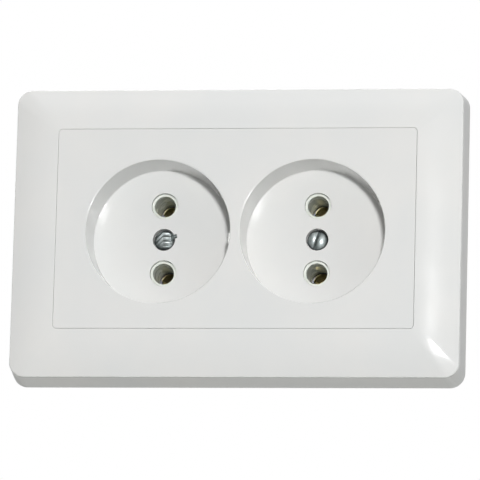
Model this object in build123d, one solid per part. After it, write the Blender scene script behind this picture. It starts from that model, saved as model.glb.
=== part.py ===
from build123d import *
import os
from math import hypot, radians, sqrt, tan

# Flush double wall socket: two round plug wells side by side, two poles, no earth.
# Every piece is drawn lying on its back: x to the right, y up the wall and z out of the wall.
# stand_up() then turns it onto the wall: X right, Z up, the room at -Y.
# The origin is midway between the two sockets, in the plane of the wall.

# Plug wells and pins
well_radius = 20.1
well_depth = 12.0
well_web = 2.6              # wall between the two wells where they come nearest
well_taper = 0.4            # the well is this much narrower at its floor than at its rim
well_floor_round = 0.4
well_rim_round = 0.25
floor_thickness = 1.5
pin_pitch = 19.0
bore_radius = 2.95
bore_length = 12.8
sleeve_wall = 0.55
sleeve_gap = 0.2            # ring of air between a sleeve and the window in the well floor
sleeve_recess = 0.9         # the sleeve's face below the well floor

# Centre cover
side_margin = 8.3           # flat panel left and right of the wells
top_margin = 7.9            # flat panel above and below the wells, on average
panel_corner = 1.0
panel_rise = 0.8            # the panel's centre above the socket centres
panel_thickness = 2.0
panel_gap = 0.05            # parting line between the cover and the frame
parting_round = 0.15
cover_edge_depth = 3.0
cover_wall = 1.6
hem_corner = 0.4            # inside the corners of the cover's edge
cover_rib = 1.2
cover_rib_y = 8.0
cover_rib_drop = 2.0        # how far the cover's ribs reach below its edge
ledge_gap = 0.8             # between those ribs and the frame's ledge

# Surround frame
frame_band = 12.35          # width of the domed band round the panel
dome_drop = 3.2             # fall of the dome from the panel to its outer edge
dome_start = 8.0            # degrees that the dome already slopes at the panel
dome_power = 3              # the dome steepens outwards with this power of the distance
edge_corner = 4.0
side_draft = 0.75           # the side walls lean out by this much down to the wall
top_draft = 1.05
rear_corner = 4.2
frame_wall = 2.0
frame_rise = 0.2            # the frame's centre above the socket centres
dome_sections = 6
edge_round = 0.45
frame_rib = 1.2
rib_pitch = 22.0            # between the ribs behind the top and bottom bands
side_rib_y = 14.0
ledge_reach = 3.2           # the ledge inside the window that the cover presses on
ledge_thickness = 1.5
window_wall = 1.6
skirt_depth = 3.0
skirt_wall = 1.4

# Screws that hold the cover
cover_screw_radius = 1.5
cover_head_radius = 2.9
cover_head_height = 1.8
cover_head_dome = 0.8
cover_head_recess = 0.4
cover_boss_web = 1.2
cover_slot_turn = {"left": 13.0, "right": 74.0}
head_gap = 0.2
nut_width = 5.5
nut_thickness = 2.3
nut_gap = 0.2

# Mounting plate
plate_thickness = 1.0
plate_corner = 5.0
plate_lap = 12.7            # how far it reaches past the base at the left and right
plate_gap = 0.3
box_screw_pitch = 60.0
slot_half_width = 2.1
slot_length = 7.0
slot_land = 2.0

# Contact base, made to go into a round wall box
base_wall = 1.5             # ceramic outside the outer chambers
body_wall = 2.6             # ceramic above and below the chambers
base_depth = 19.5
flange_land = 5.0           # the flange stands this much above and below the body
flange_depth = 5.0
island_step = 0.5           # the part that rises through the plate is this much smaller
island_side_step = 0.8
rivet_radius = 1.45
rivet_head_radius = 2.1
rivet_head_height = 0.8
rivet_clearance = 1.2       # between a rivet's head and the wells of the cover
fit_gap = 0.05              # round a shank that fills its hole

# Contact bars
strip_width = 7.0
strip_thickness = 0.8
strip_end = 3.6             # how far a strip runs past the outer pins
strip_sink = 1.5            # the strip's seat above the base's rear face
strip_corner = 1.0
channel_gap = 0.2
tulip_bore = 1.9
tulip_wall = 0.7
tulip_slit = 1.2
tulip_flare = 0.5
tulip_flare_height = 1.2
tulip_headroom = 0.5
chamber_radius = 4.4
collar_radius = 3.0
collar_height = 2.0
spring_wall = 0.65
spring_height = 2.4
spring_gap = 1.0

# Terminals
terminal_offset = 6.5
terminal_screw_radius = 1.7
terminal_head_radius = 3.3
terminal_head_height = 2.2
terminal_head_dome = 0.3
terminal_screw_length = 7.0
terminal_slot_turn = 35.0
clamp_length = 9.0
clamp_width = 6.6
clamp_thickness = 1.2
clamp_corner = 0.8
clamp_groove_x = 3.06
clamp_groove_radius = 1.1
clamp_groove_depth = 0.45
barrier_thickness = 1.6
barrier_height = 2.6

# Rear cover
rear_cover_thickness = 1.5
rear_cover_inset = 0.4
rear_window_gap = 0.6
rear_screw_radius = 1.3
rear_head_radius = 2.4
rear_head_height = 1.5
rear_head_dome = 0.5
rear_head_land = 1.2        # between the terminal window and a rear cover screw's head
rear_screw_length = 9.0
rear_slot_turn = 20.0
slot_width = 0.9
slot_share = 0.5            # a driver slot's depth as a share of the head's height

# Outlines worked out from the sizes above
socket_pitch = 2 * well_radius + well_web
panel_width = socket_pitch + 2 * (well_radius + side_margin)
panel_height = 2 * (well_radius + top_margin)
window_width = panel_width + 2 * panel_gap
window_height = panel_height + 2 * panel_gap
window_corner = panel_corner + panel_gap
edge_width = panel_width + 2 * frame_band
edge_height = panel_height + 2 * frame_band
base_radius = hypot(socket_pitch / 2, pin_pitch / 2) + chamber_radius + base_wall
body_height = pin_pitch + 2 * (chamber_radius + body_wall)
flange_height = body_height + 2 * flange_land
island_radius = base_radius - island_side_step
island_height = body_height - 2 * island_step
plate_width = 2 * (base_radius + plate_lap)
plate_height = box_screw_pitch + slot_length + 2 * slot_land
rivet_y = (body_height + flange_height) / 4
rivet_reach = well_radius + cover_wall + rivet_clearance + rivet_head_radius
rivet_x = socket_pitch / 2 - sqrt(rivet_reach**2 - rivet_y**2)
strip_half = socket_pitch / 2 + strip_end
terminal_reach = terminal_offset + clamp_length / 2 + rear_window_gap
rear_screw_x = terminal_reach + rear_head_land + rear_head_radius

# Levels worked out from the sizes above; the wells stand on the plate
floor_back = plate_thickness
floor_level = floor_back + floor_thickness
front_level = floor_level + well_depth
edge_level = front_level - dome_drop
ledge_level = front_level - cover_edge_depth
sleeve_level = floor_level - sleeve_recess
bore_end = sleeve_level - bore_length
head_seat = floor_level - cover_head_recess - cover_head_height
boss_end = head_seat - cover_boss_web
base_rear = -base_depth
nut_seat = base_rear + nut_thickness + nut_gap
strip_seat = base_rear + strip_sink
strip_back = strip_seat - strip_thickness
clamp_back = strip_back - clamp_thickness
tulip_top = bore_end - tulip_headroom
sides = {"left": -1, "right": 1}
rows = {"upper": 1, "lower": -1}


def socket_x(side):
    return sides[side] * socket_pitch / 2


def pin_y(row):
    return rows[row] * pin_pitch / 2


def slab(width, height, corner, low, high, rise=0.0):
    """A flat plate with round corners between two levels."""
    outline = Pos(0, rise, low) * RectangleRounded(width, height, corner)
    return extrude(outline, high - low)


def disc(radius, low, high, x=0.0, y=0.0):
    """A round bar or hole between two levels."""
    return extrude(Pos(x, y, low) * Circle(radius), high - low)


def block(width, height, low, high, x=0.0, y=0.0):
    """A square-edged block between two levels."""
    return extrude(Pos(x, y, low) * Rectangle(width, height), high - low)


def cut_disc(radius, height, low, high):
    """A disc with its top and bottom cut off straight, as the base is."""
    outline = Circle(radius) & Rectangle(2 * radius + 2, height)
    return extrude(Pos(0, 0, low) * outline, high - low)


def ring(outer, inner, low, high, x=0.0, y=0.0):
    return disc(outer, low, high, x, y) - disc(inner, low, high, x, y)


def frame_form(inset):
    """The frame's outside, or its hollow when inset is the wall thickness."""
    top = front_level - inset
    band = (edge_width - window_width + edge_height - window_height) / 4
    slope = tan(radians(dome_start))
    steepening = dome_drop / band - slope
    dome = []
    for step in range(dome_sections + 1):
        share = 1 - step / dome_sections
        width = window_width + (edge_width - window_width) * share - 2 * inset
        height = window_height + (edge_height - window_height) * share - 2 * inset
        corner = window_corner + (edge_corner - window_corner) * share
        rise = panel_rise + (frame_rise - panel_rise) * share
        level = top - band * (slope * share + steepening * share**dome_power)
        dome.append(Pos(0, rise, level) * RectangleRounded(width, height, corner))
    rear_width = edge_width + 2 * side_draft - 2 * inset
    rear_height = edge_height + 2 * top_draft - 2 * inset
    rear = Pos(0, frame_rise, 0) * RectangleRounded(rear_width, rear_height, rear_corner)
    return loft([rear, dome[0]], ruled=True) + loft(dome)


def round_dome_edge(form):
    """Softens the line where the dome meets the side walls."""
    edges = [e for e in form.edges() if abs(e.center().Z - edge_level) < 0.01]
    return fillet(edges, edge_round)


def surround_frame():
    outside = frame_form(0.0)
    shell = round_dome_edge(outside) - frame_form(frame_wall)
    ledge_bottom = ledge_level - ledge_thickness
    skirt_end = ledge_bottom - skirt_depth
    opening_width = window_width - 2 * ledge_reach
    opening_height = window_height - 2 * ledge_reach
    collar = slab(window_width + 2 * window_wall, window_height + 2 * window_wall,
                  window_corner + window_wall, ledge_bottom, front_level, panel_rise) & outside
    skirt = slab(opening_width + 2 * skirt_wall, opening_height + 2 * skirt_wall,
                 window_corner + skirt_wall, skirt_end, ledge_bottom, panel_rise)
    ribs = []
    for step in (-1.5, -0.5, 0.5, 1.5):
        ribs.append(block(frame_rib, edge_height, skirt_end, front_level, step * rib_pitch,
                          frame_rise))
    for y in (-side_rib_y, side_rib_y):
        ribs.append(block(edge_width, frame_rib, skirt_end, front_level, 0, frame_rise + y))
    web = (Part() + ribs) & outside
    body = shell + collar + skirt + web
    body -= slab(window_width, window_height, window_corner, ledge_level, front_level + 1, panel_rise)
    body -= slab(opening_width, opening_height, window_corner, -1, front_level, panel_rise)
    lip = [e for e in body.edges()
           if abs(e.center().Z - front_level) < 0.01 and e.length > edge_height / 2]
    return fillet(lip, parting_round)


def well_form():
    """The room inside a plug well, standing on its floor."""
    lean = well_taper / well_depth
    well = Cone(well_radius - well_taper, well_radius + lean, well_depth + 1,
                align=(Align.CENTER, Align.CENTER, Align.MIN))
    return fillet(well.faces().sort_by(Axis.Z)[0].edges(), well_floor_round)


def centre_cover():
    panel = slab(panel_width, panel_height, panel_corner, front_level - panel_thickness,
                 front_level, panel_rise)
    front_rim = panel.faces().sort_by(Axis.Z)[-1].edges()
    panel = fillet(front_rim, parting_round)
    hem = slab(panel_width, panel_height, panel_corner, ledge_level,
               front_level - panel_thickness, panel_rise)
    hem -= slab(panel_width - 2 * cover_wall, panel_height - 2 * cover_wall, hem_corner,
                ledge_level - 1, front_level, panel_rise)
    outer = well_radius + cover_wall
    body = panel + hem
    for side in sides:
        x = socket_x(side)
        body += disc(outer, floor_back, front_level - panel_thickness / 2, x)
        body += disc(cover_head_radius + head_gap + cover_wall, boss_end, floor_back, x)
    rib_end = window_width / 2 - ledge_reach - ledge_gap
    rib_start = socket_pitch / 2 + outer - cover_wall / 2
    for side in sides:
        middle = sides[side] * (rib_start + rib_end) / 2
        for y in (-cover_rib_y, cover_rib_y):
            body += block(rib_end - rib_start, cover_rib, ledge_level - cover_rib_drop,
                          front_level - panel_thickness / 2, middle, y)
    for side in sides:
        x = socket_x(side)
        body -= Pos(x, 0, floor_level) * well_form()
        body -= disc(cover_head_radius + head_gap, head_seat, floor_level + 1, x)
        body -= disc(cover_screw_radius + head_gap, boss_end - 1, head_seat + 1, x)
        for row in rows:
            body -= disc(bore_radius + sleeve_wall + sleeve_gap, floor_back - 1, floor_level + 1,
                         x, pin_y(row))
    rims = [e for e in body.edges()
            if e.geom_type == GeomType.CIRCLE and abs(e.center().Z - front_level) < 0.01
            and abs(e.radius - well_radius) < 0.01]
    return fillet(rims, well_rim_round)


def mounting_plate():
    plate = slab(plate_width, plate_height, plate_corner, 0, plate_thickness)
    plate -= cut_disc(island_radius + plate_gap, island_height + 2 * plate_gap, -1,
                      plate_thickness + 1)
    for row in rows:
        slot = Pos(0, rows[row] * box_screw_pitch / 2, -1) * Rot(0, 0, 90) * SlotOverall(
            slot_length, 2 * slot_half_width)
        plate -= extrude(slot, plate_thickness + 2)
        for side in sides:
            plate -= disc(rivet_radius + fit_gap, -1, plate_thickness + 1, sides[side] * rivet_x,
                          rows[row] * rivet_y)
    return plate


def contact_base():
    body = cut_disc(base_radius, body_height, base_rear, -flange_depth)
    body += cut_disc(base_radius, flange_height, -flange_depth, 0)
    body += cut_disc(island_radius, island_height, 0, floor_back)
    body += block(2 * terminal_reach, barrier_thickness, base_rear - barrier_height, base_rear)
    channel_half = strip_half + channel_gap
    for row in rows:
        y = pin_y(row)
        body -= block(2 * channel_half, strip_width + 2 * channel_gap, base_rear - 1, strip_seat,
                      0, y)
        for side in sides:
            x = socket_x(side)
            body += disc(bore_radius + sleeve_wall, floor_back, sleeve_level, x, y)
            body -= disc(bore_radius, bore_end, sleeve_level + 1, x, y)
            body -= disc(chamber_radius, base_rear - 1, bore_end, x, y)
            terminal_x = sides[side] * terminal_offset
            body -= disc(collar_radius + 2 * channel_gap, strip_seat,
                         strip_seat + collar_height + channel_gap, terminal_x, y)
            body -= disc(terminal_screw_radius + channel_gap, strip_seat,
                         clamp_back + terminal_screw_length + 1, terminal_x, y)
            body -= disc(rivet_radius + fit_gap, -flange_depth - 1, plate_thickness,
                         sides[side] * rivet_x, rows[row] * rivet_y)
    for side in sides:
        x = socket_x(side)
        boss = cover_head_radius + head_gap + cover_wall
        body -= disc(boss + head_gap, boss_end - head_gap, floor_back + 1, x)
        body -= disc(cover_screw_radius + head_gap, base_rear - 1, floor_back, x)
        pocket = nut_width + 2 * nut_gap
        body -= block(pocket, pocket, base_rear - 1, nut_seat, x)
        body -= disc(rear_screw_radius + fit_gap, base_rear - 1, base_rear + rear_screw_length,
                     sides[side] * rear_screw_x)
    return body


def contact_bar(row):
    """One pole: a brass strip with a rolled tulip at each end and two threaded collars."""
    y = pin_y(row)
    bar = slab(2 * strip_half, strip_width, strip_corner, strip_back, strip_seat, y)
    outer = tulip_bore + tulip_wall
    for side in sides:
        x = socket_x(side)
        tulip = disc(outer, strip_seat, tulip_top, x, y)
        tulip -= disc(tulip_bore, strip_seat, tulip_top, x, y)
        flare = Cone(tulip_bore, tulip_bore + tulip_flare, tulip_flare_height)
        tulip -= Pos(x, y, tulip_top - tulip_flare_height / 2) * flare
        tulip -= block(3 * outer, tulip_slit, strip_seat, tulip_top, x, y)
        terminal_x = sides[side] * terminal_offset
        bar += tulip
        bar += disc(collar_radius, strip_seat, strip_seat + collar_height, terminal_x, y)
        bar -= disc(terminal_screw_radius + fit_gap, strip_back, strip_seat + collar_height,
                    terminal_x, y)
    return bar


def grip_spring(side, row):
    """A steel ring, open at one side, that squeezes a tulip on to the pin."""
    inner = tulip_bore + tulip_wall + fit_gap
    outer = inner + spring_wall
    low = (strip_seat + tulip_top) / 2 - spring_height / 2
    x, y = socket_x(side), pin_y(row)
    clip = ring(outer, inner, low, low + spring_height, x, y)
    return clip - block(outer + 1, spring_gap, low, low + spring_height,
                        x - sides[side] * (outer + 1) / 2, y)


def slotted_screw(head_radius, head_height, dome, shank_radius, length, turn):
    """A screw that stands on its tip, with its head's seat at level 0."""
    edge = head_height - dome
    profile = Polyline((0, -length), (shank_radius, -length), (shank_radius, 0),
                       (head_radius, 0), (head_radius, edge))
    crown = ThreePointArc((head_radius, edge), (head_radius * 0.6, edge + dome * 0.68),
                          (0, head_height))
    axis_line = Line((0, head_height), (0, -length))
    half = Plane.XZ * make_face(profile + crown + axis_line)
    screw = revolve(half, Axis.Z)
    depth = slot_share * head_height
    groove = block(2 * head_radius + 1, slot_width, head_height - depth, head_height + 1)
    return screw - Rot(0, 0, turn) * groove


def cover_screw(side):
    length = head_seat - base_rear - 2 * nut_gap
    screw = slotted_screw(cover_head_radius, cover_head_height, cover_head_dome,
                          cover_screw_radius, length, cover_slot_turn[side])
    return Pos(socket_x(side), 0, head_seat) * screw


def cover_nut(side):
    x = socket_x(side)
    top = nut_seat
    nut = block(nut_width, nut_width, top - nut_thickness, top, x)
    return nut - disc(cover_screw_radius + fit_gap, top - nut_thickness, top, x)


def plate_rivet(side, row):
    x, y = sides[side] * rivet_x, rows[row] * rivet_y
    rivet = disc(rivet_radius, -flange_depth, plate_thickness, x, y)
    rivet += disc(rivet_head_radius, plate_thickness, plate_thickness + rivet_head_height, x, y)
    rivet += disc(rivet_head_radius, -flange_depth - rivet_head_height, -flange_depth,
                  x, y)
    return rivet


def terminal_screw(side, row):
    screw = slotted_screw(terminal_head_radius, terminal_head_height, terminal_head_dome,
                          terminal_screw_radius, terminal_screw_length,
                          rows[row] * sides[side] * terminal_slot_turn)
    return Pos(sides[side] * terminal_offset, pin_y(row), clamp_back) * Rot(180, 0, 0) * screw


def clamp_plate(side, row):
    """A small plate under the terminal screw's head, grooved on the side that grips the wire."""
    x, y = sides[side] * terminal_offset, pin_y(row)
    plate = slab(clamp_length, clamp_width, clamp_corner, clamp_back, strip_back)
    plate -= disc(terminal_screw_radius + fit_gap, clamp_back, strip_back)
    centre_level = strip_back + clamp_groove_radius - clamp_groove_depth
    for share in (-1, 1):
        groove = Rot(90, 0, 0) * Cylinder(clamp_groove_radius, clamp_width + 2)
        plate -= Pos(share * clamp_groove_x, 0, centre_level) * groove
    return Pos(x, y, 0) * plate


def rear_cover():
    low = base_rear - rear_cover_thickness
    cover = cut_disc(base_radius - rear_cover_inset, body_height - 2 * rear_cover_inset, low,
                     base_rear)
    window_half = pin_pitch / 2 + strip_width / 2 + rear_window_gap
    cover -= block(2 * terminal_reach + 2 * fit_gap, 2 * window_half, low - 1, base_rear + 1)
    for side in sides:
        cover -= disc(rear_screw_radius + fit_gap, low - 1, base_rear + 1,
                      sides[side] * rear_screw_x)
    return cover


def rear_cover_screw(side):
    screw = slotted_screw(rear_head_radius, rear_head_height, rear_head_dome, rear_screw_radius,
                          rear_screw_length, sides[side] * rear_slot_turn)
    seat = base_rear - rear_cover_thickness
    return Pos(sides[side] * rear_screw_x, 0, seat) * Rot(180, 0, 0) * screw


def stand_up(piece):
    """Turns a piece from lying on its back to hanging on the wall."""
    return Rot(90, 0, 0) * piece


pieces = {
    "surround_frame": surround_frame(),
    "centre_cover": centre_cover(),
    "mounting_plate": mounting_plate(),
    "contact_base": contact_base(),
    "rear_cover": rear_cover(),
}
for side_name in sides:
    pieces[f"cover_screw_{side_name}"] = cover_screw(side_name)
    pieces[f"cover_nut_{side_name}"] = cover_nut(side_name)
    pieces[f"rear_cover_screw_{side_name}"] = rear_cover_screw(side_name)
for row_name in rows:
    pieces[f"contact_bar_{row_name}"] = contact_bar(row_name)
    for side_name in sides:
        place = f"{row_name}_{side_name}"
        pieces[f"grip_spring_{place}"] = grip_spring(side_name, row_name)
        pieces[f"plate_rivet_{place}"] = plate_rivet(side_name, row_name)
        pieces[f"terminal_screw_{place}"] = terminal_screw(side_name, row_name)
        pieces[f"clamp_plate_{place}"] = clamp_plate(side_name, row_name)

os.makedirs("parts", exist_ok=True)
for name, piece in pieces.items():
    export_step(stand_up(piece), f"parts/{name}.step")
    print(name, round(piece.volume, 1))
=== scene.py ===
# %% [markdown]
# # A double wall socket, finished in Blender
#
# The construction model already holds every piece at its real size: the domed frame, the flat
# cover with its two round wells, the screws, and the ceramic and brass behind them. This
# notebook gives those pieces the surfaces of the real thing, hangs them in soft studio light
# and looks at them from the photograph's angle. Blender's lengths are metres here, and MM turns
# millimetres into them. X runs to the right, Z up, and the room is on the side of minus Y.

# %% Load the frame
import math

import bmesh
import bpy
from mathutils import Matrix, Vector


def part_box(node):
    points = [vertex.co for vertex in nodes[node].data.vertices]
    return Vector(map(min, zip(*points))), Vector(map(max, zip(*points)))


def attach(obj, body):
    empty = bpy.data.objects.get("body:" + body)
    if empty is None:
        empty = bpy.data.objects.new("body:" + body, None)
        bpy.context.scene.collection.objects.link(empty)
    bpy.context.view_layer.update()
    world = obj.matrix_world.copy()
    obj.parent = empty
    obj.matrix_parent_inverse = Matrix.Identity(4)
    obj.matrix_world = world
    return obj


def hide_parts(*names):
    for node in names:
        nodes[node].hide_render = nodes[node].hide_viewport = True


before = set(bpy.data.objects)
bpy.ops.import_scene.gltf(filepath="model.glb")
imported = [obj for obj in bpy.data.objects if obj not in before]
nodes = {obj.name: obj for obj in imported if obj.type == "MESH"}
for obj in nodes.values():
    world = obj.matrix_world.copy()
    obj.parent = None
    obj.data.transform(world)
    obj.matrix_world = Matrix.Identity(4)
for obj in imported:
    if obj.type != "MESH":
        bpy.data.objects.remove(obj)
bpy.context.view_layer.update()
MM = 0.001
print("pieces from the construction model:", len(nodes))

# %% [markdown]
# ## Small tools for node trees
#
# A procedural material is a tree of nodes. Making each node takes several lines: create it,
# set its values, link its inputs. A short helper does all three, so that a material further
# down reads like a recipe. An input is given either as a plain value or as another node's
# output socket, and the helper tells them apart.

# %% Node helpers
def fill_inputs(tree, node, values):
    """Gives a node's inputs their values, or links them to other nodes' outputs."""
    for key, value in values.items():
        if isinstance(value, bpy.types.NodeSocket):
            tree.links.new(value, node.inputs[key])
        else:
            node.inputs[key].default_value = value


def add_node(tree, kind, inputs=None, **settings):
    """Adds a node, sets its properties, and fills its inputs."""
    node = tree.nodes.new(kind)
    for name, value in settings.items():
        setattr(node, name, value)
    fill_inputs(tree, node, inputs or {})
    return node


# %% [markdown]
# ### Nodes that every recipe needs
#
# Nearly every finish asks for the same few nodes: a noise, a change of range, a little
# arithmetic and a blend of two colours. Each gets a short name and hands back its output, so
# that one node can be written inside another, as in a sum on paper.

# %% Noise, arithmetic and colour nodes
def noise(tree, vector, scale, detail=2.0, roughness=0.5):
    """A noise texture's grey value, from 0 to 1."""
    node = add_node(tree, "ShaderNodeTexNoise",
                    {"Vector": vector, "Scale": scale, "Detail": detail, "Roughness": roughness})
    return node.outputs["Fac"]


def remap(tree, value, low, high, to_low=0.0, to_high=1.0):
    """Stretches a value's range low..high to another one, and clamps it there."""
    node = add_node(tree, "ShaderNodeMapRange",
                    {"Value": value, "From Min": low, "From Max": high,
                     "To Min": to_low, "To Max": to_high})
    return node.outputs["Result"]


def math_node(tree, operation, first, second=0.0):
    """One step of arithmetic on one or two values."""
    node = add_node(tree, "ShaderNodeMath", {0: first, 1: second}, operation=operation)
    return node.outputs["Value"]


def plus(tree, first, second):
    """The sum of two values."""
    return math_node(tree, "ADD", first, second)


def minus(tree, first, second):
    """The first value less the second."""
    return math_node(tree, "SUBTRACT", first, second)


def times(tree, first, second):
    """The product of two values."""
    return math_node(tree, "MULTIPLY", first, second)


def mix_colour(tree, factor, first, second):
    """Blends two colours, each given as red, green and blue or as a node's output."""
    first, second = (end if isinstance(end, bpy.types.NodeSocket) else (*end, 1.0)
                     for end in (first, second))
    node = add_node(tree, "ShaderNodeMix", {0: factor, 6: first, 7: second}, data_type="RGBA")
    return node.outputs[2]


# %% [markdown]
# ## Effects that several finishes share
#
# Moulded plastic, ceramic glaze and rolled metal have some things in common: they are never
# quite flat, never one even colour, and they carry hair scratches and a trace of dirt. Each
# of these is built once as a node group with named inputs and outputs, and every material
# places it with its own values. Copying the nodes into each material would work too, but then
# one change would have to be made in all of them.

# %% Helpers for node groups
def open_group(name, inputs):
    """Makes a node group with the given inputs and their usual values, and hands them back."""
    group = bpy.data.node_groups.new(name, "ShaderNodeTree")
    for socket_name, value in inputs.items():
        kind = "NodeSocketVector" if socket_name == "Vector" else "NodeSocketFloat"
        socket = group.interface.new_socket(socket_name, in_out="INPUT", socket_type=kind)
        if value is not None:
            socket.default_value = value
    return group, group.nodes.new("NodeGroupInput").outputs


def close_group(group, results):
    """Gives a node group its named outputs."""
    for socket_name in results:
        group.interface.new_socket(socket_name, in_out="OUTPUT", socket_type="NodeSocketFloat")
    fill_inputs(group, group.nodes.new("NodeGroupOutput"), results)
    print("group", group.name, "has", len(group.nodes), "nodes")


def place_group(tree, group, inputs):
    """Puts a node group into a material, and hands back its outputs."""
    return add_node(tree, "ShaderNodeGroup", inputs, node_tree=group).outputs


# %% [markdown]
# ### Slow waves and a fine skin
#
# Injection-moulded plastic copies its steel mould, which is polished but never flat, and it
# shrinks a little over its ribs. The waves could be modelled, but they are only a few
# thousandths of a millimetre deep and show in the reflections alone. Two noises are enough: a
# slow one a few millimetres long for the waves, and a fine one for the skin. They add up to
# one height for a bump.

# %% Group: moulded skin
skin_group, skin_in = open_group("moulded_skin", {"Vector": None, "Wave Length": 6.0,
                                                  "Skin Length": 0.35, "Skin Share": 0.2})
wave_scale = math_node(skin_group, "DIVIDE", 1 / MM, skin_in["Wave Length"])
skin_scale = math_node(skin_group, "DIVIDE", 1 / MM, skin_in["Skin Length"])
wave = noise(skin_group, skin_in["Vector"], wave_scale, 1.0)
skin = noise(skin_group, skin_in["Vector"], skin_scale, 2.0)
skin_part = times(skin_group, skin, skin_in["Skin Share"])
close_group(skin_group, {"Height": plus(skin_group, wave, skin_part), "Drift": wave})

# %% [markdown]
# ### Hair scratches
#
# A surface that has been wiped and handled carries short, thin scratches in all directions. A
# picture of scratches would repeat and blur close up, so they are made from noise. Stretching
# a noise strongly along one direction turns its blobs into strokes, and keeping only its very
# top leaves a few. Two layers at different angles cross each other as real scratches do.

# %% Group: hair scratches
scratch_group, scratch_in = open_group("hair_scratches",
                                       {"Vector": None, "Length": 5.0, "Amount": 0.5})
scratch_scale = math_node(scratch_group, "DIVIDE", 1 / MM, scratch_in["Length"])
scratch_floor = remap(scratch_group, scratch_in["Amount"], 0.0, 1.0, 0.78, 0.6)
layers = []
for turn, thin in ((0.6, 26.0), (2.1, 34.0)):
    turned = add_node(scratch_group, "ShaderNodeMapping",
                      {"Vector": scratch_in["Vector"], "Rotation": (0.2, turn, 0.1),
                       "Scale": (1.0, thin, thin)})
    strokes = noise(scratch_group, turned.outputs["Vector"], scratch_scale, 1.0)
    layers.append(remap(scratch_group, minus(scratch_group, strokes, scratch_floor), 0.0, 0.05))
close_group(scratch_group, {"Mask": math_node(scratch_group, "MAXIMUM", *layers)})

# %% [markdown]
# ### Specks and crystals
#
# Ceramic carries small dark iron specks, and zinc grows in crystals. Both split a surface into
# cells, which is what a Voronoi texture does. It gives every cell a distance from its middle,
# so a threshold on it leaves a dot in each cell. The cell's random colour decides which cells
# keep their dot, and it also tells one crystal from the next.

# %% Group: specks
speck_group, speck_in = open_group("specks", {"Vector": None, "Spacing": 1.5, "Size": 0.2,
                                              "Share": 0.4})
speck_scale = math_node(speck_group, "DIVIDE", 1 / MM, speck_in["Spacing"])
cells = add_node(speck_group, "ShaderNodeTexVoronoi",
                 {"Vector": speck_in["Vector"], "Scale": speck_scale}).outputs
cell_value = add_node(speck_group, "ShaderNodeSeparateColor", {"Color": cells["Color"]}).outputs
inside = minus(speck_group, speck_in["Size"], cells["Distance"])
chosen = math_node(speck_group, "LESS_THAN", cell_value["Red"], speck_in["Share"])
dot = times(speck_group, remap(speck_group, inside, 0.0, 0.05), chosen)
close_group(speck_group, {"Mask": dot, "Cell": cell_value["Green"]})

# %% [markdown]
# ### Lathe rings
#
# A screw head is turned or stamped round, and its plating keeps faint rings. Cutting them into
# the mesh would take thousands of faces for something finer than a hair. A sine wave over the
# distance from the screw's own axis gives the same rings as a bump, so the group takes the
# centre as an input.

# %% Group: turning rings
def from_centre(tree, inputs):
    """How far to the right of a group's own centre a point lies, and how far above it."""
    place = add_node(tree, "ShaderNodeSeparateXYZ", {"Vector": inputs["Vector"]}).outputs
    return minus(tree, place["X"], inputs["Centre X"]), minus(tree, place["Z"], inputs["Centre Z"])


ring_group, ring_in = open_group("turning_rings", {"Vector": None, "Centre X": 0.0,
                                                   "Centre Z": 0.0, "Spacing": 0.12})
off_x, off_z = from_centre(ring_group, ring_in)
square = plus(ring_group, times(ring_group, off_x, off_x), times(ring_group, off_z, off_z))
radius = math_node(ring_group, "SQRT", square)
pace = math_node(ring_group, "DIVIDE", 2 * math.pi / MM, ring_in["Spacing"])
wobble = times(ring_group, noise(ring_group, ring_in["Vector"], 900.0), 3.0)
phase = plus(ring_group, times(ring_group, radius, pace), wobble)
close_group(ring_group, {"Height": math_node(ring_group, "SINE", phase),
                         "Radius": times(ring_group, radius, 1 / MM)})

# %% [markdown]
# ## An empty material to start from
#
# Every finish here ends in one Principled shader. Its colour, roughness and bump come from
# nodes. Numbers that are the same all over, such as the metal's full metalness, are typed into
# the shader itself. The coordinates are the object's own, in metres, so grain keeps its real
# size on large and small pieces alike.

# %% Helpers for materials
def open_material(name, **shader_values):
    """Makes a material with one Principled shader and object coordinates."""
    material = bpy.data.materials.new(name)
    material.use_nodes = True
    tree = material.node_tree
    fill_inputs(tree, tree.nodes["Principled BSDF"],
                {key.replace("_", " "): value for key, value in shader_values.items()})
    position = tree.nodes.new("ShaderNodeTexCoord").outputs["Object"]
    return material, tree, position


def link_finish(material, colour, roughness, height, depth_mm, form=None):
    """Connects colour, roughness and a bump of the given depth to the shader."""
    tree = material.node_tree
    bump = add_node(tree, "ShaderNodeBump",
                    {"Height": height, "Strength": 1.0, "Distance": depth_mm * MM})
    if form is not None:
        tree.links.new(form, bump.inputs["Normal"])
    fill_inputs(tree, tree.nodes["Principled BSDF"],
                {"Base Color": colour, "Roughness": roughness, "Normal": bump.outputs["Normal"]})
    print("material", material.name, "has", len(tree.nodes), "nodes")
    return material


def dimmed(colour, share):
    """A colour at a share of its brightness."""
    return tuple(part * share for part in colour)


# %% [markdown]
# ### How the dome falls
#
# The real frame leaves the panel almost flush and bends away evenly up to its edge. The soft
# streak of light in its lower right corner gives that away. The construction model's dome has
# the same height and the same edge, but it starts off more steeply. Its shape could be built
# again as a mesh. The difference is only a few tenths of a millimetre, though, and shows in the
# shading alone, so a bump is enough. This group gives the bump's height in millimetres: how
# much the real dome stands above the drawn one. It is a weighted sum of the share of the way
# between the window and the edge, its square and its cube. The band's middle drifts a little
# from the window to the edge, as the drawn dome's does, and a smooth maximum rounds the ridge
# where two sides meet in a corner.

# %% Group: dome fall
ridge_rounding = 0.2
share_weights = (0.1205, -0.145, 0.1197)

fall_group, fall_in = open_group(
    "dome_fall", {"Vector": None, "Half Width": 49.85, "Half Height": 28.05, "Band": 12.3,
                  "Rise": 0.8, "Drift": 0.6})


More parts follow.
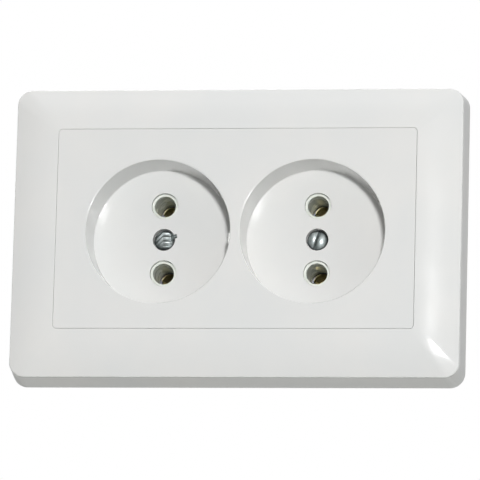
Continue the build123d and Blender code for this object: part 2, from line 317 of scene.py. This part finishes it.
def band_share(distance, half):
    """How far out on the band a point lies, 0 at the window and 1 at the edge."""
    outward = minus(fall_group, math_node(fall_group, "ABSOLUTE", distance), half)
    return math_node(fall_group, "DIVIDE", outward, fall_in["Band"])


def clamped(value):
    """A value kept between 0 and 1."""
    return add_node(fall_group, "ShaderNodeClamp", {"Value": value}).outputs["Result"]


fall_place = add_node(fall_group, "ShaderNodeSeparateXYZ", {"Vector": fall_in["Vector"]}).outputs
fall_x = times(fall_group, fall_place["X"], 1 / MM)
fall_z = times(fall_group, fall_place["Z"], 1 / MM)
sideways = band_share(fall_x, fall_in["Half Width"])
undrifted = band_share(minus(fall_group, fall_z, fall_in["Rise"]), fall_in["Half Height"])
drifted = minus(fall_group, fall_in["Rise"],
                times(fall_group, fall_in["Drift"], clamped(undrifted)))
upwards = band_share(minus(fall_group, fall_z, drifted), fall_in["Half Height"])
both = add_node(fall_group, "ShaderNodeMath", {0: sideways, 1: upwards, 2: ridge_rounding},
                operation="SMOOTH_MAX")
share = clamped(both.outputs["Value"])
bulge = 0.0
for weight in reversed(share_weights):
    bulge = times(fall_group, share, plus(fall_group, bulge, weight))
close_group(fall_group, {"Height": times(fall_group, bulge, fall_in["Band"])})

# %% [markdown]
# ## White moulded plastic
#
# The frame and the cover are glossy white thermoplastic. It could be one white with a low
# roughness, but then it looks like a screen graphic. The real one drifts between a cool and a
# warm white, its gloss changes where hands have been, and its reflections ripple slightly. The
# flanks behind the frame's edge are duller than its face, because a mould's straight walls are
# hardly ever polished.

# %% Material: white plastic
cool_white = (0.722, 0.730, 0.724)
warm_white = (0.752, 0.750, 0.736)
face_end, flank_start = -10.6 * MM, -10.0 * MM
flank_dullness = 0.35


def white_plastic(name, tint, gloss_low, gloss_high, domed=False):
    """White plastic with a slow colour drift; domed adds the frame's flanks and its fall."""
    material, tree, position = open_material(name, IOR=1.47)
    moulded = place_group(tree, skin_group, {"Vector": position, "Wave Length": 9.0,
                                             "Skin Length": 0.3, "Skin Share": 0.05})
    scratches = place_group(tree, scratch_group, {"Vector": position, "Length": 4.0, "Amount": 0.25})
    drift = remap(tree, noise(tree, position, 38.0, 3.0), 0.35, 0.65)
    colour = mix_colour(tree, drift, dimmed(cool_white, tint), dimmed(warm_white, tint))
    gloss = remap(tree, noise(tree, position, 120.0, 3.0), 0.3, 0.7, gloss_low, gloss_high)
    roughness = plus(tree, gloss, times(tree, scratches["Mask"], 0.10))
    height = minus(tree, moulded["Height"], times(tree, scratches["Mask"], 0.03))
    form = None
    if domed:
        depth = add_node(tree, "ShaderNodeSeparateXYZ", {"Vector": position}).outputs["Y"]
        flank = remap(tree, depth, face_end, flank_start, 0.0, flank_dullness)
        roughness = plus(tree, roughness, flank)
        fall = place_group(tree, fall_group, {"Vector": position})["Height"]
        form = add_node(tree, "ShaderNodeBump",
                        {"Height": fall, "Strength": 1.0, "Distance": MM}).outputs["Normal"]
    return link_finish(material, colour, roughness, height, 0.012, form)


frame_white = white_plastic("moulded_white_frame", 1.0, 0.10, 0.17, domed=True)
cover_white = white_plastic("moulded_white_cover", 0.985, 0.08, 0.14)

# %% [markdown]
# ## Glazed ceramic
#
# The block that carries the contacts is fired ceramic with a thin clear glaze: a warm ivory
# with a few iron specks and a slightly wavy gloss. Specks could be small meshes, but they lie
# under the glaze and have no height. So they go into the colour, and the waves of the glaze
# into the bump.

# %% Material: ceramic
def glazed_ceramic(name):
    """Ivory clay that drifts in tone, with iron specks under an uneven glaze."""
    material, tree, position = open_material(name, IOR=1.5)
    body = place_group(tree, skin_group, {"Vector": position, "Wave Length": 3.0,
                                          "Skin Length": 0.4, "Skin Share": 0.3})
    iron = place_group(tree, speck_group, {"Vector": position, "Spacing": 1.9, "Size": 0.12,
                                           "Share": 0.35})
    clay = mix_colour(tree, remap(tree, body["Drift"], 0.3, 0.7),
                      (0.715, 0.745, 0.685), (0.765, 0.79, 0.74))
    colour = mix_colour(tree, times(tree, iron["Mask"], 0.7), clay, (0.20, 0.14, 0.09))
    roughness = remap(tree, noise(tree, position, 300.0), 0.3, 0.7, 0.16, 0.34)
    return link_finish(material, colour, roughness, body["Height"], 0.012)


ceramic = glazed_ceramic("glazed_ceramic")

# %% [markdown]
# ## Zinc-plated steel
#
# The mounting plate is cut from zinc-plated sheet. Zinc grows in flat crystals that mirror the
# light a little differently from one to the next, and handling leaves scratches and dull
# patches. The cells of the speck group stand for the crystals. One noise would be simpler, but
# its shades run into each other, and crystals meet at sharp borders.

# %% Material: zinc plate
def zinc_plate(name, crystal_mm):
    """Zinc in crystals of the given size, with scratches and dull patches."""
    material, tree, position = open_material(name, Metallic=1.0)
    crystals = place_group(tree, speck_group, {"Vector": position, "Spacing": crystal_mm})
    scratches = place_group(tree, scratch_group, {"Vector": position, "Length": 7.0, "Amount": 0.7})
    shade = mix_colour(tree, crystals["Cell"], (0.50, 0.53, 0.56), (0.66, 0.68, 0.70))
    dull = remap(tree, noise(tree, position, 60.0, 4.0), 0.45, 0.7)
    colour = mix_colour(tree, times(tree, dull, 0.5), shade, (0.40, 0.42, 0.42))
    roughness = plus(tree, remap(tree, crystals["Cell"], 0.0, 1.0, 0.30, 0.42),
                     times(tree, dull, 0.15))
    height = minus(tree, noise(tree, position, 1400.0, 3.0), scratches["Mask"])
    return link_finish(material, colour, roughness, height, 0.008)


plate_zinc = zinc_plate("zinc_sheet", 2.2)
small_zinc = zinc_plate("zinc_small_parts", 0.7)

# %% [markdown]
# ### Dirt and painted shade along a line
#
# Dirt settles in the slot of a screw and never leaves it. The slot is also a recess in shade,
# and the mask darkens it for both, so it is dirt and painted shade in one. It could be painted
# on by hand, but a slot is a straight band through the screw's middle, so its mask only needs
# the distance from a line. A wave over that distance gives several grooves side by side instead
# of one, as on a head that a driver has chewed, and their dark bands are painted shade in the
# troughs as well as dirt. The reach says how far from the middle the darkening begins to thin
# out.

# %% Group: groove lines
groove_group, groove_in = open_group(
    "groove_lines", {"Vector": None, "Centre X": 0.0, "Centre Z": 0.0, "Turn": 0.0, "Shift": 0.0,
                     "Half Width": 0.3, "Spacing": 100.0, "Reach": 9.0})
right, above = from_centre(groove_group, groove_in)
cosine = math_node(groove_group, "COSINE", groove_in["Turn"])
sine = math_node(groove_group, "SINE", groove_in["Turn"])
across = minus(groove_group, times(groove_group, above, cosine), times(groove_group, right, sine))
along = plus(groove_group, times(groove_group, right, cosine), times(groove_group, above, sine))
across_mm = minus(groove_group, times(groove_group, across, 1 / MM), groove_in["Shift"])
nearest = math_node(groove_group, "PINGPONG", across_mm, groove_in["Spacing"])
edge = minus(groove_group, groove_in["Half Width"], nearest)
along_mm = times(groove_group, math_node(groove_group, "ABSOLUTE", along), 1 / MM)
past_end = minus(groove_group, along_mm, groove_in["Reach"])
fading = remap(groove_group, past_end, -0.5, 0.5, 1.0, 0.15)
close_group(groove_group, {"Mask": times(groove_group, fading,
                                         remap(groove_group, edge, -0.16, 0.12))})

# %% [markdown]
# ## The screws in the wells
#
# These are the only metal pieces that the photograph shows plainly. They could share the small
# parts' zinc, but each is worn in its own way, so each gets its own material with lathe rings
# round its own axis. The plating is worn to a soft shine on the crown. Round the rim it is
# darkened with painted shade, and in the slot with dirt and painted shade.

# %% Material: screw heads
# The near-black colour paints shade round the screws' rims, and dirt with painted shade in their
# slots.
light_zinc, dark_zinc = (0.54, 0.59, 0.59), (0.37, 0.42, 0.42)
shade_and_grime_colour = (0.06, 0.07, 0.065)
rim_shade_full = 2.95


def screw_zinc(name, middle, wear):
    """Worn zinc round one screw's axis, with a painted rim shade and a slot of dirt and painted shade
    centred a little off that axis.
    """
    material, tree, position = open_material(name, Metallic=1.0)
    rings = place_group(tree, ring_group, {"Vector": position, "Centre X": middle.x,
                                           "Centre Z": middle.z, "Spacing": 0.16})
    shade_and_grime_middle = {"Vector": position, "Centre X": middle.x + wear["shift"][0] * MM,
                   "Centre Z": middle.z + wear["shift"][1] * MM}
    rim = place_group(tree, ring_group, shade_and_grime_middle)
    groove = place_group(tree, groove_group, {**shade_and_grime_middle, **wear["groove"]})
    blotch = remap(tree, noise(tree, position, 700.0, 3.0), 0.4, 0.65)
    plating = mix_colour(tree, blotch, dimmed(light_zinc, wear["shade"]),
                         dimmed(dark_zinc, wear["shade"]))
    # Painted shade: the plating darkens towards the rim as if the head's edge lay in its hole's
    # shadow, and the off-centre middle makes it thicker on one side.
    ragged = plus(tree, rim["Radius"], times(tree, noise(tree, position, 900.0), 0.4))
    rim_painted_shade = times(tree, remap(tree, ragged, wear["rim_shade_from"], rim_shade_full), wear["rim"])
    # The painted rim shade and the slot's dirt and painted shade share one mask and one dark colour.
    shade_and_grime = math_node(tree, "MAXIMUM", rim_painted_shade, groove["Mask"])
    colour = mix_colour(tree, times(tree, shade_and_grime, 0.86), plating, shade_and_grime_colour)
    grain = remap(tree, noise(tree, position, 1600.0, 2.0), 0.3, 0.7, wear["dullness"],
                  wear["dullness"] + 0.1)
    roughness = plus(tree, times(tree, shade_and_grime, 0.15), grain)
    return link_finish(material, colour, roughness, rings["Height"], 0.0015)


# %% [markdown]
# ## Rolled brass
#
# The contact bars and the rivets are brass. Only a glint of it shows at the end of the bores,
# but the part is seen from all sides, so all of it is finished. Rolling leaves fine lines along
# the sheet, which are a noise stretched in one direction, and old brass is brown with tarnish
# in patches. A clean metal yellow would be far too bright for it.

# %% Material: brass
def rolled_brass(name):
    """Brass with rolling lines and patches of brown tarnish."""
    material, tree, position = open_material(name, Metallic=1.0)
    grain = add_node(tree, "ShaderNodeMapping", {"Vector": position, "Scale": (1.0, 14.0, 14.0)})
    rolled = noise(tree, grain.outputs["Vector"], 260.0, 3.0)
    tarnish = remap(tree, noise(tree, position, 220.0, 4.0, 0.6), 0.42, 0.68)
    colour = mix_colour(tree, tarnish, (0.47, 0.42, 0.22), (0.21, 0.18, 0.09))
    roughness = remap(tree, tarnish, 0.0, 1.0, 0.46, 0.62)
    return link_finish(material, colour, roughness, rolled, 0.006)


brass = rolled_brass("rolled_brass")

# %% [markdown]
# ## Oiled spring steel
#
# The rings that squeeze the contacts are hardened steel with a film of oil. Hardening leaves a
# blue-grey bloom with browner spots. Colour and roughness could each have a noise of their own,
# but one noise that drives both keeps the spots darker and duller, as they are on real steel.

# %% Material: spring steel
def spring_steel(name):
    """Dark steel with a bloom that is duller where it is browner."""
    material, tree, position = open_material(name, Metallic=1.0)
    bloom = remap(tree, noise(tree, position, 500.0, 3.0), 0.35, 0.7)
    colour = mix_colour(tree, bloom, (0.26, 0.27, 0.30), (0.14, 0.12, 0.12))
    roughness = remap(tree, bloom, 0.0, 1.0, 0.28, 0.5)
    return link_finish(material, colour, roughness, noise(tree, position, 2400.0), 0.004)


oiled_steel = spring_steel("oiled_spring_steel")

# %% [markdown]
# ## Pressed board
#
# The thin cover at the back is a matt board pressed from fibres. Single fibres could be drawn
# as curves, but there are thousands of them. The scratch group already makes short thin
# strokes, so here it gives the fibres, and they stand out a little instead of being cut in.

# %% Material: cover board
def cover_board(name):
    """Pale pulp with short brown fibres."""
    material, tree, position = open_material(name)
    fibres = place_group(tree, scratch_group, {"Vector": position, "Length": 1.6, "Amount": 1.0})
    pulp = remap(tree, noise(tree, position, 420.0, 5.0, 0.65), 0.3, 0.7)
    base = mix_colour(tree, pulp, (0.55, 0.53, 0.47), (0.68, 0.67, 0.62))
    colour = mix_colour(tree, times(tree, fibres["Mask"], 0.5), base, (0.40, 0.36, 0.29))
    roughness = remap(tree, pulp, 0.0, 1.0, 0.55, 0.75)
    return link_finish(material, colour, roughness, plus(tree, pulp, fibres["Mask"]), 0.02)


board = cover_board("pressed_board")

# %% [markdown]
# ## Dressing the pieces
#
# The construction model's pieces keep their shape. Only the material in each slot changes. A
# rule by name is easier to read than a list of twenty-nine lines, because every family of
# pieces starts with the same words. Where two rules fit, the later one holds.

# %% Assign the finishes
families = (("surround_frame", frame_white), ("centre_cover", cover_white),
            ("contact_base", ceramic), ("mounting_plate", plate_zinc), ("contact_bar", brass),
            ("plate_rivet", brass), ("grip_spring", oiled_steel), ("rear_cover", board),
            ("terminal_screw", small_zinc), ("clamp_plate", small_zinc), ("cover_nut", small_zinc),
            ("rear_cover_screw", small_zinc))
for node_name, node in nodes.items():
    for start, material in families:
        if node_name.startswith(start):
            node.data.materials.clear()
            node.data.materials.append(material)
print("materials in use:", sorted({node.data.materials[0].name for node in nodes.values()}))

# %% [markdown]
# ## The two worn cover screws
#
# The construction model has plain slotted screws. On the real ones the heads have had a hard
# life. The right one is a round head whose two halves have been polished into a pair of lenses
# beside a narrow slot. The left one has been chewed into ridges by a driver that slipped, and a
# burr curls over its edge at the right. They could be sculpted by hand, but a formula is easier
# to adjust. Each function gives the height of the head above its seat, in millimetres, for a
# place measured from the screw's axis.

# %% Heights of the heads
def lens_halves(x, z):
    """Height of a round head with two polished halves beside a slot."""
    crown, lens_middle, across_fall, along_fall = 1.75, 1.0, 4.5, 8.0
    slot_depth, slot_half_width, slot_softness, slot_offset = 0.55, 0.23, 0.05, -0.20
    turn = math.radians(17.5)
    along = x * math.sin(turn) + z * math.cos(turn)
    beside = abs((x - slot_offset) * math.cos(turn) - z * math.sin(turn))
    lens = crown - (beside - lens_middle) ** 2 / across_fall - along ** 2 / along_fall
    return lens - slot_depth / (1.0 + math.exp((beside - slot_half_width) / slot_softness))


def chewed_ridges(x, z):
    """Height of a flat head with ridges that bend down on its left."""
    flat, ridge_height, ridge_pitch, first_crest = 1.60, 0.09, 1.33, 0.70
    bend_start, bend_slope, bow_middle, lower_end = -0.4, 0.9, 0.2, -1.3
    bent = z - bend_slope * min(x - bend_start, 0.0)
    ridge = ridge_height * math.cos(2 * math.pi * (bent - first_crest) / ridge_pitch)
    bow = 0.14 if x > bow_middle else 0.06
    below = max(0.0, lower_end - z)
    return flat + ridge - bow * (x - bow_middle) ** 2 - 0.03 * z * z - 0.3 * below ** 2


def plain_edge(angle):
    """A rim that is round and has no burr at any angle."""
    return 0.0, 0.0


def burred_edge(angle):
    """How far the rim is pushed out in mm, and how much of a burr it is, at one angle."""
    burr_at, burr_width, burr_reach = 17.0, 15.0, 0.98
    notch_at, notch_width, notch_depth = 46.0, 9.0, 0.2
    degrees = math.degrees(angle)
    burr = math.exp(-((degrees - burr_at) / burr_width) ** 4)
    notch = math.exp(-((degrees - notch_at) / notch_width) ** 2)
    return burr_reach * burr - notch_depth * notch, burr


for face in (lens_halves, chewed_ridges):
    print(face.__name__, "stands", round(face(0, 0), 2), "mm high in its middle")

# %% [markdown]
# ### From points to a mesh
#
# Both the heads and the burr further down are made of closed rings of points, each one joined
# to the next by a band of faces. Blender could revolve or bevel a curve into such shapes, but
# only evenly, and these swell and sink from point to point. So the points are placed one by
# one, and a few helpers do what both pieces need.

# %% Mesh helpers
def stitch(build, loops):
    """Joins each closed loop of points to the next one with a band of faces."""
    for first, second in zip(loops, loops[1:]):
        for here in range(len(first)):
            after = (here + 1) % len(first)
            build.faces.new((first[here], first[after], second[after], second[here]))


def show_mesh(name, build, material, smooth=True):
    """Turns a finished build into an object with one material."""
    mesh = bpy.data.meshes.new(name)
    build.to_mesh(mesh)
    build.free()
    for polygon in mesh.polygons:
        polygon.use_smooth = smooth
    mesh.materials.append(material)
    shown = bpy.data.objects.new(name, mesh)
    bpy.context.scene.collection.objects.link(shown)
    print(name, "faces:", len(mesh.polygons))
    return shown


def blend(first, second, share):
    """The value a share of the way from the first to the second."""
    return first + (second - first) * share


def round_point(middle, distance, angle, level):
    """A place at a distance and an angle round a screw's axis."""
    return (middle.x + distance * math.cos(angle), level, middle.z + distance * math.sin(angle))


# %% [markdown]
# ### The rings of a head
#
# A head is a fan of rings round the screw's axis. A grid with a displacement would do for a
# flat face, but rings follow the round rim and leave it clean. Near the rim the head drops in
# a shoulder, and where the edge function says so it rises into the burr instead. Below the
# burr one more ring turns back to the rim, so that the burr is solid.

# %% Rings of a head
head_radius, head_seat = 2.88 * MM, -0.3 * MM
head_rings, head_segments = 46, 132
full_turn = 2 * math.pi
shoulder_share, shoulder_drop = 0.86, 0.45
burr_share, burr_rise = 0.5, 0.25
burr_height, burr_floor = 2.65, -2.56 * MM


def head_loops(build, middle, face, edge_change):
    """The rings of a head from its middle outwards, and the one that closes its burr."""
    loops, below_rim = [], []
    for ring in range(1, head_rings + 1):
        share = ring / head_rings
        past_shoulder = max(0.0, share - shoulder_share) / (1.0 - shoulder_share)
        rise = min(1.0, max(0.0, share - burr_share) / burr_rise)
        loop = []
        for step in range(head_segments):
            angle = math.remainder(full_turn * step / head_segments, full_turn)
            out, burr = edge_change(angle)
            distance = share * (head_radius / MM + out)
            height = face(distance * math.cos(angle), distance * math.sin(angle))
            height -= shoulder_drop * past_shoulder ** 2
            height = blend(height, burr_height, burr * rise * rise * (3.0 - 2.0 * rise))
            level = head_seat - height * MM
            loop.append(build.verts.new(round_point(middle, distance * MM, angle, level)))
            if ring == head_rings:
                inner = round_point(middle, blend(distance * MM, head_radius, burr), angle,
                                    blend(level, burr_floor, burr))
                below_rim.append(build.verts.new(inner))
        loops.append(loop)
    print("head rings:", len(loops), "of", head_segments, "points")
    return loops + [below_rim]


# %% [markdown]
# ### Putting the screws together
#
# Below the head the mesh goes on down to the seat and along the shank, which keeps the
# construction model's size, and a fan of triangles closes each end. The table says how each
# screw is worn and shaded: where the middle of its painted shade and slot dirt lies, from where
# the rim is darkened with painted shade and how much, how bright and dull the plating is, and
# where the groove or grooves of dirt and painted shade run. The screws could be written out one
# after the other, but one builder with a row of values for each is shorter, and a mend then
# reaches both.

# %% Worn screws
head_skirt, shank_radius = -1.2 * MM, 1.5 * MM

screw_wear = {
    "left": {"face": chewed_ridges, "edge": burred_edge, "shift": (0.41, 0.17), "rim_shade_from": 2.1,
             "rim": 0.8, "shade": 0.74, "dullness": 0.34,
             "groove": {"Shift": -0.24, "Half Width": 0.26, "Spacing": 0.665, "Reach": 0.95}},
    "right": {"face": lens_halves, "edge": plain_edge, "shift": (-0.14, -0.14), "rim_shade_from": 2.5,
              "rim": 1.0, "shade": 0.87, "dullness": 0.42,
              "groove": {"Turn": math.radians(72.5), "Shift": 0.1, "Half Width": 0.16,
                         "Reach": 1.6}}}


def worn_screw(side, wear):
    """A cover screw with its worn head, which stands for the plain one."""
    low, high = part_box(f"cover_screw_{side}")
    middle = (low + high) / 2
    build = bmesh.new()
    loops = head_loops(build, middle, wear["face"], wear["edge"])
    for distance, level in ((head_radius, head_skirt), (head_radius, head_seat),
                            (shank_radius, head_seat), (shank_radius, high.y)):
        loops.append([build.verts.new(round_point(middle, distance,
                                                  full_turn * step / head_segments, level))
                      for step in range(head_segments)])
    stitch(build, loops)
    for loop, level in ((loops[0], head_seat - wear["face"](0, 0) * MM), (loops[-1], high.y)):
        tip = build.verts.new((middle.x, level, middle.z))
        for here in range(head_segments):
            build.faces.new((tip, loop[here], loop[(here + 1) % head_segments]))
    bmesh.ops.recalc_face_normals(build, faces=build.faces[:])
    material = screw_zinc(f"screw_zinc_{side}", middle, wear)
    screw = show_mesh(f"worn_screw_{side}", build, material)
    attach(screw, "root")
    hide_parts(f"cover_screw_{side}")


for side, wear in screw_wear.items():
    worn_screw(side, wear)

# %% [markdown]
# ## A burr on the left well's rim
#
# Just below the middle, the inner rim of the left well has a small ragged burr of white
# plastic, as if a plug had been forced in there. A bump would not change the rim's outline, so
# it is a mesh of its own: a thin tube that follows the rim and swells into three lumps. It
# keeps behind the cover's face, so it does not make the socket any deeper.

# %% Rim burr
rim_steps, rim_sides = 90, 14
rim_radius, rim_gap = 20.0 * MM, 0.02 * MM
rim_from, rim_to = -1.0, -10.5
rim_lumps = ((-2.6, 0.30), (-5.3, 0.36), (-8.2, 0.26))
lump_spread, thin_end, thin_middle = 0.75, 0.03, 0.05
end_taper, inward_share = 0.3, 0.4
ragged_share, ragged_waves, ragged_drift = 0.12, 5.0, 9.0 / 7.0

screw_low, screw_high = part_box("cover_screw_left")
well_x = (screw_low.x + screw_high.x) / 2
face_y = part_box("centre_cover")[0].y


def rim_loop(build, step):
    """One ring of the tube, at one step along the rim."""
    degrees = blend(rim_from, rim_to, step / rim_steps)
    ends = math.sin(math.pi * step / rim_steps) ** end_taper
    swell = sum(size * math.exp(-((degrees - place) / lump_spread) ** 2)
                for place, size in rim_lumps)
    thick = (thin_end + thin_middle * ends + swell * ends) * MM
    outward = Vector((math.cos(math.radians(degrees)), 0.0, math.sin(math.radians(degrees))))
    centre = (Vector((well_x, face_y + thick + rim_gap, 0.0))
              + outward * (rim_radius - inward_share * thick))
    loop = []
    for side_step in range(rim_sides):
        turn = full_turn * side_step / rim_sides
        ragged = 1.0 + ragged_share * math.sin(ragged_waves * turn + ragged_drift * step)
        reach = thick * min(1.0, ragged)
        loop.append(build.verts.new(centre + outward * (reach * math.cos(turn))
                                    + Vector((0.0, reach * math.sin(turn), 0.0))))
    return loop


rim_build = bmesh.new()
rim_loops = [rim_loop(rim_build, step) for step in range(rim_steps + 1)]
stitch(rim_build, rim_loops)
rim_build.faces.new(rim_loops[0])
rim_build.faces.new(rim_loops[-1])
bmesh.ops.recalc_face_normals(rim_build, faces=rim_build.faces[:])
rim_burr = show_mesh("rim_burr", rim_build, cover_white)
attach(rim_burr, "root")

# %% [markdown]
# ## The studio floor
#
# A wall socket hangs in the air here, as it did for its catalogue picture, so that its back can
# be seen too. The floor is a pale disc far below it. Lighting it brightly would also light the
# socket from below, so the floor glows for the camera alone and stays pale in every view.

# %% Floor
floor_level = -1.9
floor_radius = 9.0
floor_glow = 0.55

bpy.ops.mesh.primitive_circle_add(vertices=96, radius=floor_radius, fill_type="NGON",
                                  location=(0, 0, floor_level))
floor = bpy.context.object
floor.name = "studio_floor"
floor_paint, floor_tree, floor_position = open_material("pale_floor")
floor_tone = mix_colour(floor_tree, noise(floor_tree, floor_position, 3.0),
                        (0.78, 0.80, 0.75), (0.82, 0.83, 0.79))
floor_roughness = remap(floor_tree, noise(floor_tree, floor_position, 20.0), 0.0, 1.0, 0.5, 0.7)
link_finish(floor_paint, floor_tone, floor_roughness, noise(floor_tree, floor_position, 60.0), 0.2)
floor_rays = floor_tree.nodes.new("ShaderNodeLightPath").outputs["Is Camera Ray"]
fill_inputs(floor_tree, floor_tree.nodes["Principled BSDF"],
            {"Emission Color": floor_tone,
             "Emission Strength": remap(floor_tree, floor_rays, 0.0, 1.0, 0.0, floor_glow)})
floor.data.materials.append(floor_paint)
print("floor", floor_level, "m below the socket")

# %% [markdown]
# ## The white room
#
# The world is white where the camera or a reflection looks at it, and a softer grey where it
# lights the object. A world that is white for all rays would be simpler, but it would burn the
# white plastic out against the white background.

# %% World
ambient = 0.145

world = bpy.data.worlds.new("studio_world")
bpy.context.scene.world = world
world.use_nodes = True
world_tree = world.node_tree
rays = world_tree.nodes.new("ShaderNodeLightPath").outputs
reflected = math_node(world_tree, "MAXIMUM", rays["Is Glossy Ray"], rays["Is Transmission Ray"])
seen = math_node(world_tree, "MAXIMUM", rays["Is Camera Ray"], reflected)
fill_inputs(world_tree, world_tree.nodes["Background"],
            {"Color": (1, 1, 1, 1), "Strength": remap(world_tree, seen, 0.0, 1.0, ambient, 1.0)})
print("light from the room:", ambient)

# %% [markdown]
# ## A painted reflection of the room's dark side
#
# A photographer stands in front of the socket, and so does the unlit half of the room. White
# plastic hardly shows that, but bare metal does: a screw head in an all-white room would look
# like a white dot. So a card behind the camera glows with its own dark grey and gives the metal
# that to reflect, a painted reflection of the unlit room. Only reflections see it. It takes no
# light from the object and is not in any picture.

# %% Dark card
card_corners = ((-4.0, -3.0, -2.0), (4.0, -3.0, -2.0), (4.0, -3.4, 2.4), (-4.0, -3.4, 2.4))
card_paint, card_tree, card_position = open_material(
    "painted_reflection_card", IOR=1.0, Base_Color=(0, 0, 0, 1), Emission_Strength=1.0)
# Painted reflection: the card glows with its own dark grey, which only reflections see.
painted_reflection_tone = mix_colour(card_tree, noise(card_tree, card_position, 1.2),
                       (0.17, 0.17, 0.17), (0.31, 0.31, 0.30))
fill_inputs(card_tree, card_tree.nodes["Principled BSDF"], {"Emission Color": painted_reflection_tone})
card_build = bmesh.new()
card_build.faces.new([card_build.verts.new(corner) for corner in card_corners])
card = show_mesh("painted_reflection_card", card_build, card_paint, smooth=False)
for kind in ("camera", "diffuse", "transmission", "shadow", "volume_scatter"):
    setattr(card, f"visible_{kind}", False)

# %% [markdown]
# ## The lamps
#
# The photograph has one small lamp close to the camera, a little to its right and above it. Its
# sign is the dark crescent at the upper right of each well: there the wall turns away from the
# lamp, and the rim's shadow just peeps out on the floor. At the lower left the glossy wall
# throws that light back on to the floor as a pale crescent. A broad lamp above stands for the
# ceiling, and another on the right for a window. Two more below keep the lower flank from going
# black, and the last one is there for views of the back. The strengths were found by rendering
# each lamp alone and weighing the pictures against the photograph. A lamp's power follows from
# the light it should put on a surface that faces it, 1 being the light in which white looks
# white.

# %% Lamps
def aim_from(azimuth, elevation, distance):
    """A place round the object, seen from the room."""
    around, up = math.radians(azimuth), math.radians(elevation)
    return distance * Vector((math.sin(around) * math.cos(up), -math.cos(around) * math.cos(up),
                              math.sin(up)))


def soft_lamp(name, azimuth, elevation, distance, side, brightness):
    """A square lamp that lights a surface facing it to the stated brightness."""
    light = bpy.data.lights.new(name, "AREA")
    light.shape = "SQUARE"
    light.size = side
    light.energy = brightness * math.pi * math.pi * distance**2
    lamp = bpy.data.objects.new(name, light)
    bpy.context.scene.collection.objects.link(lamp)
    lamp.location = aim_from(azimuth, elevation, distance)
    lamp.rotation_euler = lamp.location.to_track_quat("Z", "Y").to_euler()
    print(name, "at", [round(v, 2) for v in lamp.location], "power", round(light.energy, 2), "W")


soft_lamp("key_lamp", 11.4, 1.8, 1.35, 0.12, 0.74)
soft_lamp("ceiling_lamp", 10.0, 80.0, 1.6, 1.0, 0.27)
soft_lamp("window_lamp", 60.0, 30.0, 1.6, 1.1, 0.16)
soft_lamp("front_low_lamp", 18.0, -38.0, 1.6, 1.0, 0.06)
soft_lamp("low_lamp", 170.0, -68.0, 1.6, 1.0, 0.29)
soft_lamp("back_lamp", -150.0, 35.0, 1.6, 1.0, 0.5)

# %% [markdown]
# ## The camera
#
# The photograph was taken from a little to the right and below, with a long lens: the flanks on
# the right and at the bottom show, and the well floors seem to slide down and to the right. The
# camera stands on that line of sight. A small roll levels the sockets as they stand in the
# picture. The lens follows from the distance, so that a millimetre takes as many pixels as in
# the photograph.

# %% Camera
camera_azimuth = 8.06
camera_elevation = -11.49
camera_distance = 1.5
camera_roll = 1.52
picture_width = 480
pixels_per_mm = 3.6084
aim_point = Vector((-0.475, 0.0, 0.417)) * MM

camera_data = bpy.data.cameras.new("photo_camera")
camera_data.sensor_width = 36.0
focal_pixels = pixels_per_mm * camera_distance / MM
camera_data.lens = focal_pixels / picture_width * camera_data.sensor_width
camera_data.clip_start = 0.05
camera_data.clip_end = 30.0
camera = bpy.data.objects.new("photo_camera", camera_data)
bpy.context.scene.collection.objects.link(camera)
bpy.context.scene.camera = camera
camera.location = aim_point + aim_from(camera_azimuth, camera_elevation, camera_distance)
look = (aim_point - camera.location).to_track_quat("-Z", "Y")
camera.rotation_mode = "QUATERNION"
camera.rotation_quaternion = look @ Matrix.Rotation(math.radians(camera_roll), 3, "Z").to_quaternion()
print("lens", round(camera_data.lens, 1), "mm at", camera_distance, "m")

# %% [markdown]
# ## Colour
#
# The Standard view keeps a colour as it was written.

# %% Finish
bpy.context.scene.view_settings.view_transform = "Standard"
